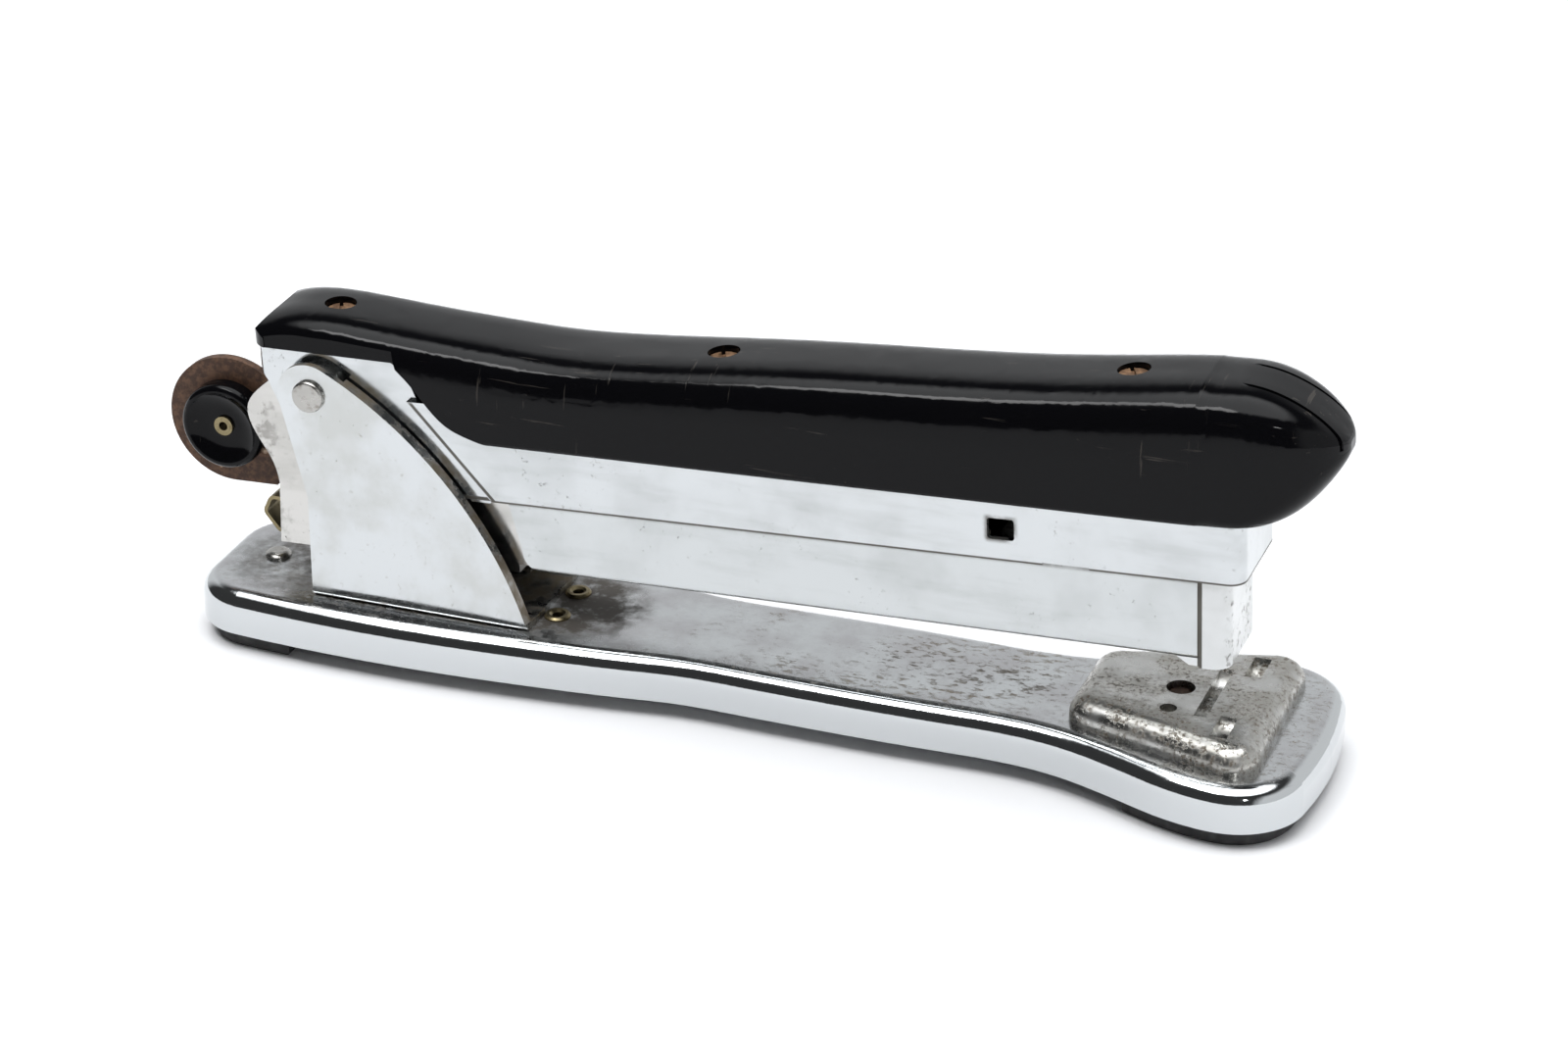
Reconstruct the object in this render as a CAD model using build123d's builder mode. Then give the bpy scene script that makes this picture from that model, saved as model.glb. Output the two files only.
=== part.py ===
"""Full-strip desk stapler: dog-bone base, pull-knob magazine and moulded grip.

Units are millimetres. +X runs to the stapler's nose, +Z is up, and Y = 0 is the plane of symmetry.
The origin lies under the middle of the whole stapler, on the surface that it stands on.

The magazine and the handle both turn on the pivot pin. Each is drawn in its own side plane: local x
runs forward along the body and local y runs up, both measured from the pin's axis.
"""
from build123d import *
import math
import os

os.makedirs("parts", exist_ok=True)

# ---------------------------------------------------------------- driving dimensions
REAR_X = -66.85          # rear edge of the pivot bracket
PIVOT_X = REAR_X + 1.05
PIVOT_Z = 44.6
MAGAZINE_TILT = 2.3      # nose-up angle of the magazine at rest, in degrees
HANDLE_TILT = 3.0        # nose-up angle of the handle at rest

SKIRT_Z = 3.0            # lower edge of the base's skirt
TOP_Z = 9.9              # flat top of the base
BASE_SHEET = 1.0
BASE_FOLD = 2.8
UNDER_Z = TOP_Z - BASE_SHEET
PLATE = 1.2              # stiffener under the base's top

RUN = 0.05               # radial clearance of a pin in its hole
PIN_R = 2.0
RIVET_R = 1.3

BRACKET_HALF = 11.0      # half widths across the stapler, from the outside in
BRACKET_SHEET = 1.1
FLANGE_HALF = 8.9
FRAME_HALF = 9.4
FRAME_SHEET = 1.0
REAR_HALF = 8.45
REAR_SHEET = 0.9
CHANNEL_HALF = 7.9
CHANNEL_SHEET = 0.7
CARRIER_HALF = 7.2
CARRIER_SHEET = 0.7
STRIP_HALF = 6.35
BLADE_HALF = 6.2
RAIL_HALF = 5.6
RAIL_SHEET = 0.7

CHANNEL_BOTTOM = -27.1   # heights in the magazine's side plane
CHANNEL_TOP = -12.0
CARRIER_BOTTOM = -27.8
CROWN_TOP = -19.85
RAIL_TOP = -20.4
ROD_V = -16.3
CHANNEL_FRONT = 141.2    # stations along the magazine
STRIP_REAR = 117.2
STRIP_FRONT = 142.0
NOSE_FRONT = 145.6

FRAME_LOW = -15.5        # heights in the handle's side plane
WEB_TOP = 0.0
REAR_TOP = 7.2
GRIP_LOW = -5.8
FRAME_FRONT = 148.0      # stations along the handle
BLADE_U = 143.7
SCREWS = ((1.4, 11.2), (65.1, 9.4), (129.3, 13.3))
HEAD_SEAT = 2.2          # depth of a grip screw's seat below the crown

ROD_R = 1.2
KNOB_AT = (-19.6, -10.7)
KNOB_R = 10.6
BUTTON_R = 7.1

ANVIL_TOP = 13.8
ANVIL_RIVET_X = REAR_X + 138.6
GROOVE_X = REAR_X + 143.7
POCKET_X = REAR_X + 147.9
REAR_RIVET_X = REAR_X - 11.4
FRONT_RIVETS_X = REAR_X + 39.0
FLOOR_RIVETS_X = (REAR_X + 10.0, REAR_X + 26.0)


def side_plane(tilt):
    """The side plane of a body that turns on the pivot pin: local x forward, local y up."""
    turn = math.radians(tilt)
    forward = (math.cos(turn), 0, math.sin(turn))
    return Plane(origin=(PIVOT_X, 0, PIVOT_Z), x_dir=forward, z_dir=(0, -1, 0))


def cross_plane(side, station):
    """The plane across a body at a station along it: local x to +Y, local y up."""
    return Plane(origin=side.from_local_coords((station, 0, 0)), x_dir=(0, 1, 0), z_dir=side.x_dir)


def plan_plane(side, height):
    """The plane along a body at a height above the pin: local x forward, local y to +Y."""
    return Plane(origin=side.from_local_coords((0, height, 0)), x_dir=side.x_dir, z_dir=side.y_dir)


MAGAZINE = side_plane(MAGAZINE_TILT)
HANDLE = side_plane(HANDLE_TILT)


def save(part, label):
    """Name a finished piece and write it."""
    part.label = label
    export_step(part, f"parts/{label}.step")


def side_slab(plane, outline, half, mode=Mode.ADD):
    """Extrude a straight-sided side outline to both sides of the middle."""
    with BuildSketch(plane) as profile:
        with BuildLine():
            Polyline(*outline, close=True)
        make_face()
    extrude(profile.sketch, amount=half, both=True, mode=mode)


def side_round(plane, at, radius, half, mode=Mode.ADD):
    """Extrude a circle in a side plane to both sides of the middle."""
    with BuildSketch(plane) as disc:
        with Locations(at):
            Circle(radius)
    extrude(disc.sketch, amount=half, both=True, mode=mode)


def leaf(plane, points, radius, half, thickness):
    """Bend a flat strip along a path in a side plane, with one bend radius."""
    with BuildSketch(plane) as strip:
        with BuildLine():
            FilletPolyline(*points, radius=radius)
        trace(line_width=thickness)
    extrude(strip.sketch, amount=half, both=True)


# ---------------------------------------------------------------- base
BASE_FLANK = (           # stations and half widths along the base, joined by tangent arcs
    (-12.0, -15.4),
    (28.0, -16.1),
    (45.0, -14.8),
    (57.5, -13.3),
    (68.0, -12.7),
    (90.0, -13.1),
    (108.0, -12.8),
    (117.0, -13.0),
    (128.0, -15.4),
    (138.0, -19.3),
    (147.0, -21.8),
    (150.5, -22.0),
    (161.1, -12.9),
)


def base_outline(height, inset):
    """The dog-bone outline of the base at a height, moved in by an inset."""
    with BuildSketch(Plane.XY.offset(height)) as outline:
        with BuildLine():
            last = Line((REAR_X - 21.0, 0), (REAR_X - 21.0, -5.5))
            for station, half in BASE_FLANK:
                last = TangentArc(last @ 1, (REAR_X + station, half), tangent=last % 1)
            last = ThreePointArc(last @ 1, (REAR_X + 161.95, -6.0), (REAR_X + 162.2, 0))
            mirror(about=Plane.XZ)
        make_face()
        if inset > 0:
            offset(amount=-inset, mode=Mode.REPLACE)
    return outline.sketch


def tray_block(inset, z_low, z_high, fold):
    """A dog-bone block with a rounded upper edge."""
    outline = base_outline(z_low, inset)
    with BuildPart() as block:
        extrude(outline, amount=z_high - z_low)
        fillet(block.faces().sort_by(Axis.Z)[-1].edges(), fold)
    return block.part


def make_base_shell():
    """The pressed tray: a flat top, a rounded fold and an upright skirt, open below."""
    outside = tray_block(0, SKIRT_Z, TOP_Z, BASE_FOLD)
    inside = tray_block(BASE_SHEET, SKIRT_Z - 1, UNDER_Z, BASE_FOLD - BASE_SHEET)
    with BuildPart() as base_shell:
        add(outside)
        add(inside, mode=Mode.SUBTRACT)
        with Locations((REAR_RIVET_X, 0, TOP_Z), (ANVIL_RIVET_X, 0, TOP_Z)):
            Hole(radius=RIVET_R, depth=2 * BASE_SHEET)
        with Locations((FRONT_RIVETS_X, -4.2, TOP_Z), (FRONT_RIVETS_X, 4.2, TOP_Z)):
            Hole(radius=1.45, depth=2 * BASE_SHEET)
        with Locations(*[(x, 0, TOP_Z) for x in FLOOR_RIVETS_X]):
            Hole(radius=RIVET_R, depth=2 * BASE_SHEET)
    save(base_shell.part, "base_shell")


def make_foot(label, x_low, x_high, rivet_x, recess):
    """A rubber pad that fills one end of the tray and stands below its skirt."""
    outline = base_outline(0, 1.7)
    with BuildPart() as foot:
        extrude(outline, amount=UNDER_Z)
        with Locations(((x_low + x_high) / 2, 0, 0)):
            Box(x_high - x_low, 50, 50, mode=Mode.INTERSECT)
        chamfer(foot.faces().sort_by(Axis.Z)[-1].edges(), 1.6)
        chamfer(foot.faces().sort_by(Axis.Z)[0].edges(), 0.5)
        with Locations((rivet_x, 0, 0)):
            Cylinder(3.0, 2 * recess, mode=Mode.SUBTRACT)
            Cylinder(RIVET_R, 40, mode=Mode.SUBTRACT)
    save(foot.part, label)


def make_stiffener_plate():
    """The strip under the base's top that the bracket is riveted to."""
    with BuildPart() as stiffener_plate:
        with BuildSketch(Plane.XY.offset(UNDER_Z - PLATE)):
            with Locations((REAR_X + 21.0, 0)):
                RectangleRounded(46, 15, 3)
        extrude(amount=PLATE)
        with Locations((FRONT_RIVETS_X, -4.2, UNDER_Z), (FRONT_RIVETS_X, 4.2, UNDER_Z)):
            Hole(radius=1.45, depth=3)
        with Locations(*[(x, 0, UNDER_Z) for x in FLOOR_RIVETS_X]):
            Hole(radius=RIVET_R, depth=3)
    save(stiffener_plate.part, "stiffener_plate")


def clinch_trough(x, y_low, y_high, depth, width):
    """Cut one staple-leg trough, a shallow arc across the anvil."""
    middle = (y_low + y_high) / 2
    with BuildSketch(Plane.YZ.offset(x - width / 2)) as trough:
        with BuildLine():
            Line((y_low, ANVIL_TOP), (y_high, ANVIL_TOP))
            ThreePointArc((y_high, ANVIL_TOP), (middle, ANVIL_TOP - depth), (y_low, ANVIL_TOP))
        make_face()
    extrude(trough.sketch, amount=width, mode=Mode.SUBTRACT)


def make_anvil_plate():
    """The raised pad with the closing groove and the pair of open pockets ahead of it."""
    with BuildPart() as anvil_plate:
        with BuildSketch(Plane.XY.offset(TOP_Z)) as pad:
            with BuildLine():
                Polyline(
                    (REAR_X + 123.3, -9.6),
                    (REAR_X + 154.5, -18.9),
                    (REAR_X + 154.5, 18.9),
                    (REAR_X + 123.3, 9.6),
                    close=True,
                )
            make_face()
            fillet(pad.vertices(), 4.5)
        extrude(amount=ANVIL_TOP - TOP_Z)
        fillet(anvil_plate.faces().sort_by(Axis.Z)[-1].edges(), 3.2)
        clinch_trough(GROOVE_X, -7.9, 1.6, 1.8, 2.0)
        clinch_trough(GROOVE_X, -1.6, 7.9, 1.8, 2.0)
        clinch_trough(POCKET_X, -13.2, -6.6, 2.1, 2.6)
        clinch_trough(POCKET_X, 6.6, 13.2, 2.1, 2.6)
        with Locations((ANVIL_RIVET_X, 0, ANVIL_TOP)):
            CounterBoreHole(RIVET_R, 2.2, 1.6, depth=6)
        with Locations((ANVIL_RIVET_X, -6.9, ANVIL_TOP)):
            Hole(radius=1.3, depth=2.0)
    save(anvil_plate.part, "anvil_plate")


def make_rivets(label, places, low, high, head_r, head, tail_r, tail):
    """Solid rivets with a low domed head above and a clinched tail below."""
    with BuildPart() as rivets:
        with BuildSketch(Plane.XZ) as half:
            with BuildLine():
                Polyline(
                    (0, high + head),
                    (0, low - tail),
                    (tail_r, low - tail),
                    (tail_r, low),
                    (RIVET_R, low),
                    (RIVET_R, high),
                    (head_r, high),
                    (head_r, high + head * 0.4),
                )
                ThreePointArc(
                    (head_r, high + head * 0.4),
                    (head_r * 0.8, high + head * 0.82),
                    (head_r * 0.4, high + head),
                )
                Line((head_r * 0.4, high + head), (0, high + head))
            make_face()
        rivet = revolve(half.sketch, axis=Axis.Z, mode=Mode.PRIVATE)
        with Locations(*places):
            add(rivet)
    save(rivets.part, label)


def make_front_rivets():
    """Two tubular rivets just ahead of the bracket, each with a rolled rim."""
    low = UNDER_Z - PLATE
    with BuildPart() as front_rivets:
        with BuildSketch(Plane.XZ) as wall:
            with BuildLine():
                Polyline(
                    (0.85, low - 0.7),
                    (2.2, low - 0.7),
                    (2.2, low),
                    (1.45, low),
                    (1.45, TOP_Z),
                    (2.1, TOP_Z),
                    (2.1, TOP_Z + 0.25),
                    (1.8, TOP_Z + 0.55),
                    (1.3, TOP_Z + 0.55),
                    (0.85, TOP_Z + 0.25),
                    close=True,
                )
            make_face()
        ring = revolve(wall.sketch, axis=Axis.Z, mode=Mode.PRIVATE)
        with Locations((FRONT_RIVETS_X, -4.2), (FRONT_RIVETS_X, 4.2)):
            add(ring)
    save(front_rivets.part, "front_rivets")


def make_pivot_bracket():
    """The U bracket: two upright cheeks with a curved, flanged front edge, and a floor."""
    arc_top = (REAR_X + 3.2, 49.2)
    arc_foot = (REAR_X + 36.8, TOP_Z)
    with BuildPart() as pivot_bracket:
        with BuildSketch(Plane.XZ) as cheek:
            with BuildLine():
                Polyline(arc_foot, (REAR_X, TOP_Z), (REAR_X, 27.0), (REAR_X - 4.3, 43.6))
                ThreePointArc((REAR_X - 4.3, 43.6), (REAR_X - 1.9, 48.9), arc_top)
                ThreePointArc(arc_top, (REAR_X + 23.4, 33.6), arc_foot)
            make_face()
        extrude(cheek.sketch, amount=BRACKET_HALF, both=True)
        extrude(cheek.sketch, amount=BRACKET_HALF - BRACKET_SHEET, both=True, mode=Mode.SUBTRACT)
        with BuildSketch(Plane.XZ) as flange:
            with BuildLine():
                ThreePointArc((REAR_X + 6.6, 47.4), (REAR_X + 23.4, 33.6), arc_foot)
                Line(arc_foot, (REAR_X + 35.7, TOP_Z))
                ThreePointArc((REAR_X + 35.7, TOP_Z), (REAR_X + 22.5, 32.9), (REAR_X + 6.0, 46.4))
                Line((REAR_X + 6.0, 46.4), (REAR_X + 6.6, 47.4))
            make_face()
        for side in (-1, 1):
            band = flange.sketch.moved(Location((0, side * FLANGE_HALF, 0)))
            extrude(band, amount=1.2, dir=(0, side, 0))
        with Locations((REAR_X + 18.4, 0, TOP_Z)):
            Box(36.8, 2 * BRACKET_HALF, BRACKET_SHEET, align=(Align.CENTER, Align.CENTER, Align.MIN))
        bends = pivot_bracket.edges().filter_by(Axis.X).group_by(Axis.Z)[0]
        fillet(bends, 1.0)
        side_round(Plane.XZ, (PIVOT_X, PIVOT_Z), PIN_R + RUN, 20, Mode.SUBTRACT)
        with Locations(*[(x, 0, TOP_Z + BRACKET_SHEET) for x in FLOOR_RIVETS_X]):
            Hole(radius=RIVET_R, depth=3)
    save(pivot_bracket.part, "pivot_bracket")


def make_pivot_pin():
    """The pin that the magazine and the handle turn on, headed over at both ends."""
    with BuildPart() as pivot_pin:
        side_round(Plane.XZ, (PIVOT_X, PIVOT_Z), PIN_R, BRACKET_HALF)
        for side in (-1, 1):
            face = Plane(origin=(PIVOT_X, side * BRACKET_HALF, PIVOT_Z), z_dir=(0, side, 0))
            with BuildSketch(face) as head:
                Circle(2.6)
            extrude(head.sketch, amount=0.9)
        rims = pivot_pin.edges().filter_by(GeomType.CIRCLE).sort_by(Axis.Y)
        fillet([rims[0], rims[-1]], 0.45)
    save(pivot_pin.part, "pivot_pin")


def make_pivot_washers():
    """Spacers that hold the handle's cheeks off the bracket's cheeks."""
    gap = BRACKET_HALF - BRACKET_SHEET - REAR_HALF
    with BuildPart() as pivot_washers:
        for side in (-1, 1):
            face = Plane(origin=(PIVOT_X, side * (REAR_HALF + RUN), PIVOT_Z), z_dir=(0, side, 0))
            with BuildSketch(face) as ring:
                Circle(3.9)
                Circle(PIN_R + RUN, mode=Mode.SUBTRACT)
            extrude(ring.sketch, amount=gap - RUN)
    save(pivot_washers.part, "pivot_washers")


def make_lift_spring():
    """The bowed leaf, riveted to the bracket's floor, that carries the magazine."""
    low = TOP_Z + BRACKET_SHEET
    path = (
        (REAR_X + 5.0, low + 0.25),
        (REAR_X + 15.0, low + 0.25),
        (REAR_X + 31.5, low + 6.3),
        (REAR_X + 34.5, low + 5.9),
    )
    with BuildPart() as lift_spring:
        leaf(Plane.XZ, path, 3.0, 4.0, 0.5)
        with Locations((FLOOR_RIVETS_X[0], 0, low)):
            Cylinder(RIVET_R, 4, mode=Mode.SUBTRACT)
    save(lift_spring.part, "lift_spring")


# ---------------------------------------------------------------- magazine
def make_magazine_channel():
    """The staple channel: a floor and two walls, cut away at the lower rear corner."""
    inner = CHANNEL_HALF - CHANNEL_SHEET
    floor = CHANNEL_BOTTOM + CHANNEL_SHEET
    with BuildPart() as magazine_channel:
        with BuildSketch(cross_plane(MAGAZINE, 29.0)) as section:
            with BuildLine():
                Polyline(
                    (-CHANNEL_HALF, CHANNEL_TOP),
                    (-CHANNEL_HALF, CHANNEL_BOTTOM),
                    (CHANNEL_HALF, CHANNEL_BOTTOM),
                    (CHANNEL_HALF, CHANNEL_TOP),
                    (inner, CHANNEL_TOP),
                    (inner, floor),
                    (-inner, floor),
                    (-inner, CHANNEL_TOP),
                    close=True,
                )
            make_face()
            fillet(section.vertices().group_by(Axis.Y)[0], 0.9)
        extrude(section.sketch, amount=CHANNEL_FRONT - 29.0)
        with BuildSketch(MAGAZINE) as corner:
            with BuildLine():
                Polyline((36.2, -28.0), (20.0, -28.0), (20.0, -10.0), (29.8, -10.0), (33.0, -23.6))
                ThreePointArc((33.0, -23.6), (33.9, -26.0), (36.2, CHANNEL_BOTTOM))
                Line((36.2, CHANNEL_BOTTOM), (36.2, -28.0))
            make_face()
        extrude(corner.sketch, amount=20, both=True, mode=Mode.SUBTRACT)
    save(magazine_channel.part, "magazine_channel")


def make_nose_cap():
    """The wrap round the nose that closes the driver's slot, with a lip below the channel."""
    outer = CHANNEL_HALF + 0.15
    with BuildPart() as nose_cap:
        with BuildSketch(plan_plane(MAGAZINE, CHANNEL_BOTTOM - 1.3)) as wrap:
            with Locations(((CHANNEL_FRONT + NOSE_FRONT) / 2, 0)):
                Rectangle(NOSE_FRONT - CHANNEL_FRONT, 2 * outer)
            ahead = wrap.vertices().group_by(Axis.X)[-1]
            fillet(ahead, 2.6)
            with Locations(((CHANNEL_FRONT + NOSE_FRONT - 0.7) / 2, 0)):
                Rectangle(NOSE_FRONT - 0.7 - CHANNEL_FRONT, 13.2, mode=Mode.SUBTRACT)
        extrude(wrap.sketch, amount=CHANNEL_TOP - CHANNEL_BOTTOM + 1.3)
        low = CHANNEL_BOTTOM - 1.3
        lip = [
            (137.5, CHANNEL_BOTTOM),
            (139.5, low),
            (STRIP_FRONT, low),
            (STRIP_FRONT, CHANNEL_BOTTOM),
        ]
        side_slab(MAGAZINE, lip, outer - 0.6)
    save(nose_cap.part, "nose_cap")


def make_magazine_carrier():
    """The inner U that hangs the magazine from the pivot and guides the pusher out behind."""
    inner = CARRIER_HALF - CARRIER_SHEET
    inside = CHANNEL_BOTTOM + CHANNEL_SHEET
    with BuildPart() as magazine_carrier:
        with BuildSketch(MAGAZINE) as cheek:
            with BuildLine():
                Spline(
                    (-2.9, 3.6), (-9.1, -0.3), (-12.9, -4.9), (-11.1, -10.6), (-8.5, -17.4),
                    tangents=[(-1, -0.35), (0.1, -1)],
                )
                Polyline(
                    (-8.5, -17.4),
                    (-9.2, CARRIER_BOTTOM),
                    (32.0, CARRIER_BOTTOM),
                    (32.0, inside),
                    (60.0, inside),
                    (60.0, -13.0),
                    (30.0, -9.5),
                    (10.0, 0.6),
                    (3.0, 4.4),
                )
                ThreePointArc((3.0, 4.4), (0, 5.0), (-2.9, 3.6))
            make_face()
        extrude(cheek.sketch, amount=CARRIER_HALF, both=True)
        hollow = [(-30.0, 20.0), (-30.0, -26.9), (70.0, -26.9), (70.0, 20.0)]
        side_slab(MAGAZINE, hollow, inner, Mode.SUBTRACT)
        side_round(MAGAZINE, (0, 0), PIN_R + RUN, 20, Mode.SUBTRACT)
        side_round(MAGAZINE, (22.0, -9.0), 1.5, 20, Mode.SUBTRACT)
    save(magazine_carrier.part, "magazine_carrier")


def make_pivot_sleeve():
    """The tube on the pivot pin that keeps the carrier's cheeks apart."""
    with BuildPart() as pivot_sleeve:
        side_round(MAGAZINE, (0, 0), 3.2, CARRIER_HALF - CARRIER_SHEET)
        side_round(MAGAZINE, (0, 0), PIN_R + RUN, 20, Mode.SUBTRACT)
    save(pivot_sleeve.part, "pivot_sleeve")


def make_carrier_spacer():
    """The cross pin above the staple path that ties the carrier's cheeks together."""
    with BuildPart() as carrier_spacer:
        side_round(MAGAZINE, (22.0, -9.0), 1.5, CARRIER_HALF)
    save(carrier_spacer.part, "carrier_spacer")


def make_staple_rail():
    """The inverted U that the staples ride on."""
    inner = RAIL_HALF - RAIL_SHEET
    floor = CHANNEL_BOTTOM + CHANNEL_SHEET
    with BuildPart() as staple_rail:
        with BuildSketch(cross_plane(MAGAZINE, -7.0)) as section:
            with BuildLine():
                Polyline(
                    (-RAIL_HALF, floor),
                    (-RAIL_HALF, RAIL_TOP),
                    (RAIL_HALF, RAIL_TOP),
                    (RAIL_HALF, floor),
                    (inner, floor),
                    (inner, RAIL_TOP - RAIL_SHEET),
                    (-inner, RAIL_TOP - RAIL_SHEET),
                    (-inner, floor),
                    close=True,
                )
            make_face()
            fillet(section.vertices().group_by(Axis.Y)[-1], 0.6)
        extrude(section.sketch, amount=STRIP_FRONT + 7.0)
    save(staple_rail.part, "staple_rail")


def make_staple_strip():
    """A part-used strip of staples at the nose, glued side by side."""
    inner = STRIP_HALF - 0.5
    foot = CROWN_TOP - 6.0
    with BuildPart() as staple_strip:
        with BuildSketch(cross_plane(MAGAZINE, STRIP_REAR)) as section:
            with BuildLine():
                Polyline(
                    (-STRIP_HALF, foot),
                    (-STRIP_HALF, CROWN_TOP),
                    (STRIP_HALF, CROWN_TOP),
                    (STRIP_HALF, foot),
                    (inner, foot),
                    (inner, CROWN_TOP - 0.5),
                    (-inner, CROWN_TOP - 0.5),
                    (-inner, foot),
                    close=True,
                )
            make_face()
            fillet(section.vertices().group_by(Axis.Y)[-1], 0.4)
        extrude(section.sketch, amount=STRIP_FRONT - STRIP_REAR)
    save(staple_strip.part, "staple_strip")


def make_latch_spring():
    """The C-shaped leaf under the carrier that snaps up behind the pusher's tongue."""
    under = CARRIER_BOTTOM - 0.3
    path = ((5.0, under), (-11.6, under), (-13.9, -25.0), (-12.6, -22.4), (-10.6, -22.5))
    with BuildPart() as latch_spring:
        leaf(MAGAZINE, path, 1.0, 3.0, 0.6)
    save(latch_spring.part, "latch_spring")


# ---------------------------------------------------------------- pusher and follower
def make_knob_tongue():
    """The flat tongue with the round finger end, slotted into the carrier."""
    forward = [(-19.6, -21.3), (-12.4, -21.3), (-11.0, -19.9), (-2.0, -19.9), (-2.0, -12.6), (-12.0, -9.0)]
    with BuildPart() as knob_tongue:
        side_round(MAGAZINE, KNOB_AT, KNOB_R, 0.75)
        side_slab(MAGAZINE, forward, 0.75)
        side_round(MAGAZINE, KNOB_AT, 1.2, 5, Mode.SUBTRACT)
    save(knob_tongue.part, "knob_tongue")


def make_knob_button(label, side):
    """A dished plastic button on one face of the tongue."""
    centre = MAGAZINE.from_local_coords((KNOB_AT[0], KNOB_AT[1], 0))
    face = Plane(origin=(centre.X, side * 0.75, centre.Z), x_dir=MAGAZINE.x_dir, z_dir=(0, side, 0))
    spin = Plane(origin=face.origin, x_dir=face.x_dir, z_dir=face.y_dir)
    with BuildPart() as knob_button:
        with BuildSketch(spin) as half:
            outward = 1 if spin.y_dir.Y * side > 0 else -1
            with BuildLine():
                Polyline(
                    (1.2, outward * 2.3),
                    (1.2, 0),
                    (BUTTON_R - 0.5, 0),
                    (BUTTON_R, outward * 0.5),
                    (BUTTON_R, outward * 2.7),
                )
                ThreePointArc(
                    (BUTTON_R, outward * 2.7),
                    (BUTTON_R - 0.35, outward * 3.35),
                    (BUTTON_R - 1.1, outward * 3.6),
                )
                ThreePointArc(
                    (BUTTON_R - 1.1, outward * 3.6),
                    (BUTTON_R - 2.9, outward * 2.6),
                    (2.3, outward * 2.3),
                )
                Line((2.3, outward * 2.3), (1.2, outward * 2.3))
            make_face()
        revolve(half.sketch, axis=Axis(face.origin, (0, 1, 0)))
    save(knob_button.part, label)


def make_knob_rivet():
    """The tubular rivet through the tongue and both buttons."""
    with BuildPart() as knob_rivet:
        side_round(MAGAZINE, KNOB_AT, 1.2, 3.05)
        for side in (-1, 1):
            centre = MAGAZINE.from_local_coords((KNOB_AT[0], KNOB_AT[1], 0))
            face = Plane(origin=(centre.X, side * 3.05, centre.Z), z_dir=(0, side, 0))
            with BuildSketch(face) as head:
                Circle(1.6)
            extrude(head.sketch, amount=0.5)
        side_round(MAGAZINE, KNOB_AT, 0.75, 10, Mode.SUBTRACT)
    save(knob_rivet.part, "knob_rivet")


def make_pusher_rod():
    """The rod the follower runs on, with a stop head at its front end."""
    with BuildPart() as pusher_rod:
        with BuildSketch(cross_plane(MAGAZINE, -2.0)) as shaft:
            with Locations((0, ROD_V)):
                Circle(ROD_R)
        extrude(shaft.sketch, amount=STRIP_REAR + 3.8)
        with BuildSketch(cross_plane(MAGAZINE, STRIP_REAR + 0.1)) as stop:
            with Locations((0, ROD_V)):
                Circle(2.1)
        extrude(stop.sketch, amount=1.7)
    save(pusher_rod.part, "pusher_rod")


def make_spring_seat():
    """The collar at the rear of the rod that the spring pushes against."""
    with BuildPart() as spring_seat:
        with BuildSketch(cross_plane(MAGAZINE, -2.0)) as ring:
            with Locations((0, ROD_V)):
                Circle(2.9)
                Circle(ROD_R, mode=Mode.SUBTRACT)
        extrude(ring.sketch, amount=3.0)
    save(spring_seat.part, "spring_seat")


def make_follower():
    """The saddle that straddles the rail and pushes the strip forward."""
    with BuildPart() as follower:
        with BuildSketch(cross_plane(MAGAZINE, 109.0)) as section:
            with BuildLine():
                Polyline((-6.2, -25.7), (-6.2, -14.4), (-4.8, -13.0), (4.8, -13.0), (6.2, -14.4), (6.2, -25.7))
                Polyline((6.2, -25.7), (5.85, -25.7), (5.85, -20.15), (-5.85, -20.15), (-5.85, -25.7))
                Line((-5.85, -25.7), (-6.2, -25.7))
            make_face()
            with Locations((0, ROD_V)):
                Circle(ROD_R + RUN, mode=Mode.SUBTRACT)
        extrude(section.sketch, amount=STRIP_REAR - 0.2 - 109.0)
    save(follower.part, "follower")


def make_pusher_spring():
    """The long coil on the rod between the rear collar and the follower."""
    rear = MAGAZINE.from_local_coords((1.4, ROD_V, 0))
    with BuildPart() as pusher_spring:
        with BuildLine() as coil:
            Helix(pitch=4.2, height=107.1, radius=1.95, center=rear, direction=MAGAZINE.x_dir)
        with BuildSketch(Plane(origin=coil.line @ 0, z_dir=coil.line % 0)) as wire:
            Circle(0.3)
        sweep(wire.sketch, path=coil.line, is_frenet=True)
    save(pusher_spring.part, "pusher_spring")


# ---------------------------------------------------------------- handle
def rounded_rear_block(half, rear, corner, outline):
    """A side slab whose rear end is rounded in plan."""
    with BuildPart() as block:
        side_slab(HANDLE, outline, half)
        with BuildSketch(plan_plane(HANDLE, -30)) as plan:
            with Locations((rear + 40, 0)):
                Rectangle(80, 2 * half)
            behind = plan.vertices().group_by(Axis.X)[0]
            fillet(behind, corner)
        extrude(plan.sketch, amount=60, mode=Mode.INTERSECT)
    return block.part


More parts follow.
